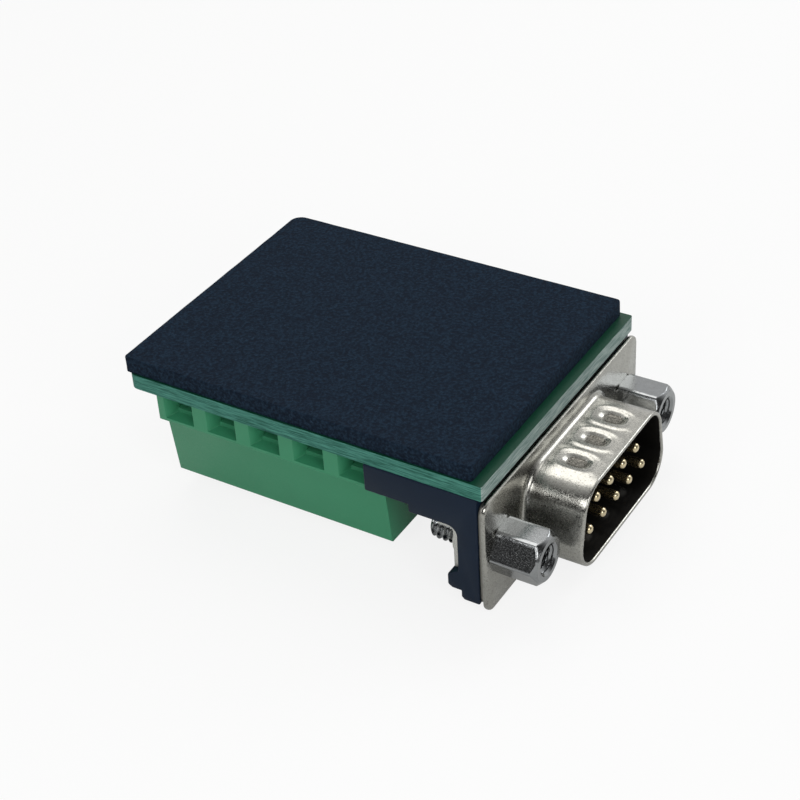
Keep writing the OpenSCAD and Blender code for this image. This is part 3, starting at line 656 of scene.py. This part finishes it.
pinValues = {
    "pitch": 2.77, "rowGap": 2.84, "tip": 5.6, "radius": 0.5, "tailRadius": 0.35, "tailStart": -3.7, "bend": 0.95,
    "backRow": -9.5, "frontRow": -6.66, "top": 9.0, "count": 28,
}


def makePin(v, k, node):
    low = k < 5
    y = (k - 2) * v["pitch"] if low else (k - 6.5) * v["pitch"]
    z = -v["rowGap"] / 2 if low else v["rowGap"] / 2
    x0 = v["backRow"] if low else v["frontRow"]
    bag = MeshBag()
    rows = []
    for step in range(8):
        t = math.radians(4 + 86 * step / 7)
        rows.append((v["tip"] - 0.42 + 0.42 * math.cos(t), z, v["radius"] * math.sin(t), 0))
    rows.append((v["tip"] - 1.1, z, v["radius"], 0))
    rows.append((v["tailStart"] + 0.15, z, v["radius"], 0))
    rows.append((v["tailStart"], z, v["tailRadius"], 0))
    turn = v["bend"]
    for step in range(11):
        t = math.radians(9 * step)
        rows.append((x0 + turn - turn * math.sin(t), z + turn - turn * math.cos(t), v["tailRadius"], 9 * step))
    rows.append((x0, v["top"] - 0.12, v["tailRadius"], 90))
    rows.append((x0, v["top"], v["tailRadius"] - 0.12, 90))
    loops = []
    for x, zz, r, tilt in rows:
        c, s = math.cos(math.radians(tilt)), math.sin(math.radians(tilt))
        points = []
        for j in range(v["count"]):
            a = 2 * math.pi * j / v["count"]
            across, up = r * math.cos(a), r * math.sin(a)
            points.append(((x + up * s) * mm, (y + across) * mm, (zz + up * c) * mm))
        loops.append(bag.loop(points))
    for a, b in zip(loops, loops[1:]):
        bag.bridge(a, b)
    bag.cap(loops[0])
    bag.cap(loops[-1])
    return standIn(bag.toObject(f"plugPin{k + 1}", materials["pin_metal"], 40), node)


for k in range(9):
    makePin(pinValues, k, f"plug_pin_{k + 1}")
print("pins ready")


# Foam pad

foamValues = {
    "length": 38.2, "width": 30.1, "thick": 1.7, "corners": (0.4, 0.4, 1.3, 0.4), "centreX": -20.6, "low": 8.2,
    "round": 0.18, "ragged": 0.05, "swell": 0.025, "pocket": 1.1, "seed": 4.7,
}
solderPoints = [(-9.5, (k - 2) * 2.77, 0.95) for k in range(5)]
solderPoints += [(-6.66, (k - 1.5) * 2.77, 0.95) for k in range(4)]
solderPoints += [(-14.45 - 5 * k, side * 7.35, 1.2) for k in range(5) for side in (-1, 1)]
solderPoints += [(-7.0, side * 12.495, 1.5) for side in (-1, 1)]


def makeFoam(v):
    bag = MeshBag()

    def outline(inset, z, ragged):
        w, h = v["length"] - 2 * inset, v["width"] - 2 * inset
        raw = roundedLoop(w, h, [max(r - inset, 0.15) for r in v["corners"]], 8, lambda x, y: (x, y))
        points = []
        n = len(raw)
        for k in range(n):
            (xa, ya), (xb, yb) = raw[k], raw[(k + 1) % n]
            parts = 1 if math.hypot(xb - xa, yb - ya) < 1 else 72
            for j in range(parts):
                x, y = xa + (xb - xa) * j / parts, ya + (yb - ya) * j / parts
                wave = noise.noise(Vector((x * 0.55, y * 0.55, z * 0.6 + v["seed"])))
                pull = 1 - ragged * (0.5 + 0.5 * wave) / (v["width"] / 2)
                points.append((x * pull, y * pull, z))
        return [((v["centreX"] + x) * mm, y * mm, (v["low"] + z) * mm) for x, y, z in points]

    top = v["thick"]
    rows = [(0.0, 0.0), (0.0, 0.5), (0.0, 1.0), (0.0, top - v["round"])]
    for k in range(1, 7):
        t = math.radians(15 * k)
        rows.append((v["round"] - v["round"] * math.cos(t), top - v["round"] + v["round"] * math.sin(t)))
    loops = [bag.loop(outline(inset, z - (0.0 if z < top - 0.01 else v["swell"]), v["ragged"])) for inset, z in rows]
    for a, b in zip(loops, loops[1:]):
        bag.bridge(a, b)
    grid = []
    for i in range(1, 74):
        for j in range(1, 58):
            x = v["centreX"] - v["length"] / 2 + v["length"] * i / 74
            y = -v["width"] / 2 + v["width"] * j / 58
            margin = 0.75
            most = max(v["corners"])
            cx = max(abs(x - v["centreX"]) - (v["length"] / 2 - margin - most), 0)
            cy = max(abs(y) - (v["width"] / 2 - margin - most), 0)
            if math.hypot(cx, cy) < most:
                lift = noise.noise(Vector((x * 0.35, y * 0.35, v["seed"]))) * v["swell"]
                grid.append((x * mm, y * mm, (v["low"] + top - v["swell"] + lift) * mm))
    inner = bag.loop(grid)
    edge = loops[-1]
    flat = [Vector((bag.points[k][0], bag.points[k][1])) * 1000 for k in edge + inner]
    edges = [(k, (k + 1) % len(edge)) for k in range(len(edge))]
    _, _, faces, originals, _, _ = delaunay_2d_cdt(flat, edges, [], 1, 1e-6, True)
    ids = edge + inner
    bag.faces.extend(tuple(ids[originals[k][0]] for k in face) for face in faces)
    pockets = []
    for x, y, r in solderPoints:
        ring = [bag.loop(circleLoop(x, y, r, 20, lambda px, py, z=z: (px * mm, py * mm, z * mm)))
                for z in (v["low"], v["low"] + v["pocket"])]
        bag.bridge(ring[0], ring[1])
        bag.cap(ring[1])
        pockets.append(ring[0])
    bag.fill([loops[0], *pockets], lambda p: (p[0], p[1]))
    made = standIn(bag.toObject("foamPad", materials["foam"], 50), "foam_pad")
    return made


makeFoam(foamValues)
print("foam ready")


# Solder and traces on the board

boardValues = {
    "low": 6.6, "top": 8.2, "trace": 0.4, "traceH": 0.03, "traceLift": 0.005, "traceTurn": 0.6, "padR": 0.95,
    "lift": 0.001, "count": 24, "pinBore": 0.3, "fillR": 0.78, "fillH": 0.62, "legBore": 0.55, "legR": 1.08,
    "legH": 0.55, "lowBore": 0.36, "lowH": 0.28,
}


def newGroup(name, kinds):
    group = bpy.data.node_groups.new(name, "GeometryNodeTree")
    group.interface.new_socket("Geometry", in_out="INPUT", socket_type="NodeSocketGeometry")
    for key, kind in kinds.items():
        group.interface.new_socket(key, in_out="INPUT", socket_type=kind)
    group.interface.new_socket("Geometry", in_out="OUTPUT", socket_type="NodeSocketGeometry")
    return group, addNode(group, "NodeGroupInput")


def applied(holder, group, start, shape, inputs, smoothDegrees):
    real = addNode(group, "GeometryNodeRealizeInstances", links={"Geometry": shape.outputs[0]})
    painted = addNode(group, "GeometryNodeSetMaterial",
                      links={"Geometry": real.outputs[0], "Material": start.outputs["Finish"]})
    addNode(group, "NodeGroupOutput", links={0: painted.outputs[0]})
    name = holder.name
    modifier = holder.modifiers.new(name, "NODES")
    modifier.node_group = group
    keys = {item.name: item.identifier for item in group.interface.items_tree if item.in_out == "INPUT"}
    for key, value in inputs.items():
        modifier[keys[key]] = value
    bpy.context.view_layer.update()
    graph = bpy.context.evaluated_depsgraph_get()
    mesh = bpy.data.meshes.new_from_object(holder.evaluated_get(graph))
    bpy.data.objects.remove(holder)
    made = finishMesh(mesh, name, inputs["Finish"], smoothDegrees)
    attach(made, "adapter")


def repeated(name, source, points):
    cloud = bpy.data.meshes.new(name + "Points")
    cloud.from_pydata([(x * mm, y * mm, z * mm) for x, y, z in points], [], [])
    holder = bpy.data.objects.new(name, cloud)
    scene.collection.objects.link(holder)
    scene.collection.objects.link(source)
    group, start = newGroup(name, {"Piece": "NodeSocketObject", "Finish": "NodeSocketMaterial"})
    piece = addNode(group, "GeometryNodeObjectInfo", links={"Object": start.outputs["Piece"]})
    placed = addNode(group, "GeometryNodeInstanceOnPoints",
                     links={"Points": start.outputs["Geometry"], "Instance": piece.outputs["Geometry"]})
    applied(holder, group, start, placed, {"Piece": source, "Finish": solderMaterial}, 40)
    bpy.data.objects.remove(source)


def turned(name, profile, count):
    bag = MeshBag()
    loops = [bag.loop(circleLoop(0, 0, r, count, lambda x, y, z=z: (x * mm, y * mm, z * mm))) for r, z in profile]
    for a, b in zip(loops, loops[1:]):
        bag.bridge(a, b)
    bag.bridge(loops[-1], loops[0])
    mesh = bpy.data.meshes.new(name)
    mesh.from_pydata(bag.points, [], bag.faces)
    return bpy.data.objects.new(name, mesh)


def fillet(inner, outer, height, up):
    found = [(inner, 0.0), (outer, 0.0), (outer - 0.02, 0.05 * up)]
    for k in range(1, 6):
        t = k / 5
        found.append((outer - (outer - inner - 0.03) * (1 - (1 - t) ** 2), (0.05 + (height - 0.05) * t ** 1.6) * up))
    found.append((inner, height * up))
    return found


def makeSolder(v):
    pinTails = [(x, y) for x, y, r in solderPoints if r < 1]
    legTails = [(x, y) for x, y, r in solderPoints if r >= 1]
    high, low = v["top"] + v["lift"], v["low"] - v["lift"]
    for name, tails, z, profile in (
            ("solderTop", pinTails, high, fillet(v["pinBore"], v["fillR"], v["fillH"], 1)),
            ("solderLegs", legTails, high, fillet(v["legBore"], v["legR"], v["legH"], 1)),
            ("solderLow", pinTails, low, fillet(v["lowBore"], v["padR"] - 0.1, v["lowH"], -1))):
        repeated(name, turned(name + "Piece", profile, v["count"]), [(x, y, z) for x, y in tails])


makeSolder(boardValues)
print("solder ready")


def traceRuns():
    runs = []
    starts = [(-9.5, -5.54), (-6.66, -4.155), (-9.5, -2.77), (-6.66, -1.385), (-9.5, 0.0)]
    for k, (x, y) in enumerate(starts):
        wayX = -14.45 - 5 * k
        reach = abs(-6.9 - y)
        runs.append([(x, y), (wayX + reach, y), (wayX, -6.9)])
    starts = [(-9.5, 5.54), (-6.66, 4.155), (-9.5, 2.77), (-6.66, 1.385)]
    for k, (x, y) in enumerate(starts):
        wayX = -14.45 - 5 * k
        reach = abs(6.9 - y)
        runs.append([(x, y), (wayX + reach, y), (wayX, 6.9)])
    runs.append([(-34.45, 6.9), (-36.2, 5.15), (-36.2, 3.4)])
    return runs


def makeTraces(v, runs):
    curve = bpy.data.curves.new("traceRuns", "CURVE")
    curve.dimensions = "3D"
    for run in runs:
        spline = curve.splines.new("POLY")
        spline.points.add(len(run) - 1)
        for k, (x, y) in enumerate(run):
            spline.points[k].co = (x * mm, y * mm, (v["low"] - v["traceH"] / 2 + v["traceLift"]) * mm, 1)
    holder = bpy.data.objects.new("boardTraces", curve)
    scene.collection.objects.link(holder)
    group, start = newGroup("boardTraces", {"Width": "NodeSocketFloat", "Height": "NodeSocketFloat",
                                            "Finish": "NodeSocketMaterial"})
    rounded = addNode(group, "GeometryNodeFilletCurve", {"Radius": v["traceTurn"] * mm, "Count": 4},
                      {"Curve": start.outputs["Geometry"]}, mode="POLY")
    section = addNode(group, "GeometryNodeCurvePrimitiveQuadrilateral",
                      links={"Width": start.outputs["Width"], "Height": start.outputs["Height"]})
    swept = addNode(group, "GeometryNodeCurveToMesh", {"Fill Caps": True},
                    {"Curve": rounded.outputs[0], "Profile Curve": section.outputs[0]})
    applied(holder, group, start, swept,
            {"Width": v["trace"] * mm, "Height": v["traceH"] * mm, "Finish": traceMaterial}, 30)


makeTraces(boardValues, traceRuns())
print("traces ready")


# Moulded and stamped pieces, with their small edge radii

softened("terminal_housing_near", "terminalHousingNear", 0.1)
softened("terminal_housing_far", "terminalHousingFar", 0.1)
softened("bracket_near", "bracketNear", 0.12)
softened("bracket_far", "bracketFar", 0.12)
softened("ground_clip_near", "groundClipNear", 0.05)
softened("ground_clip_far", "groundClipFar", 0.05)
softened("rear_shell", "rearPlate", 0.05)
for k in range(1, 11):
    softened(f"terminal_screw_{k}", f"terminalScrew{k}", 0.08)
    softened(f"clamp_cage_{k}", f"clampCage{k}", 0.03)
print("edges ready")
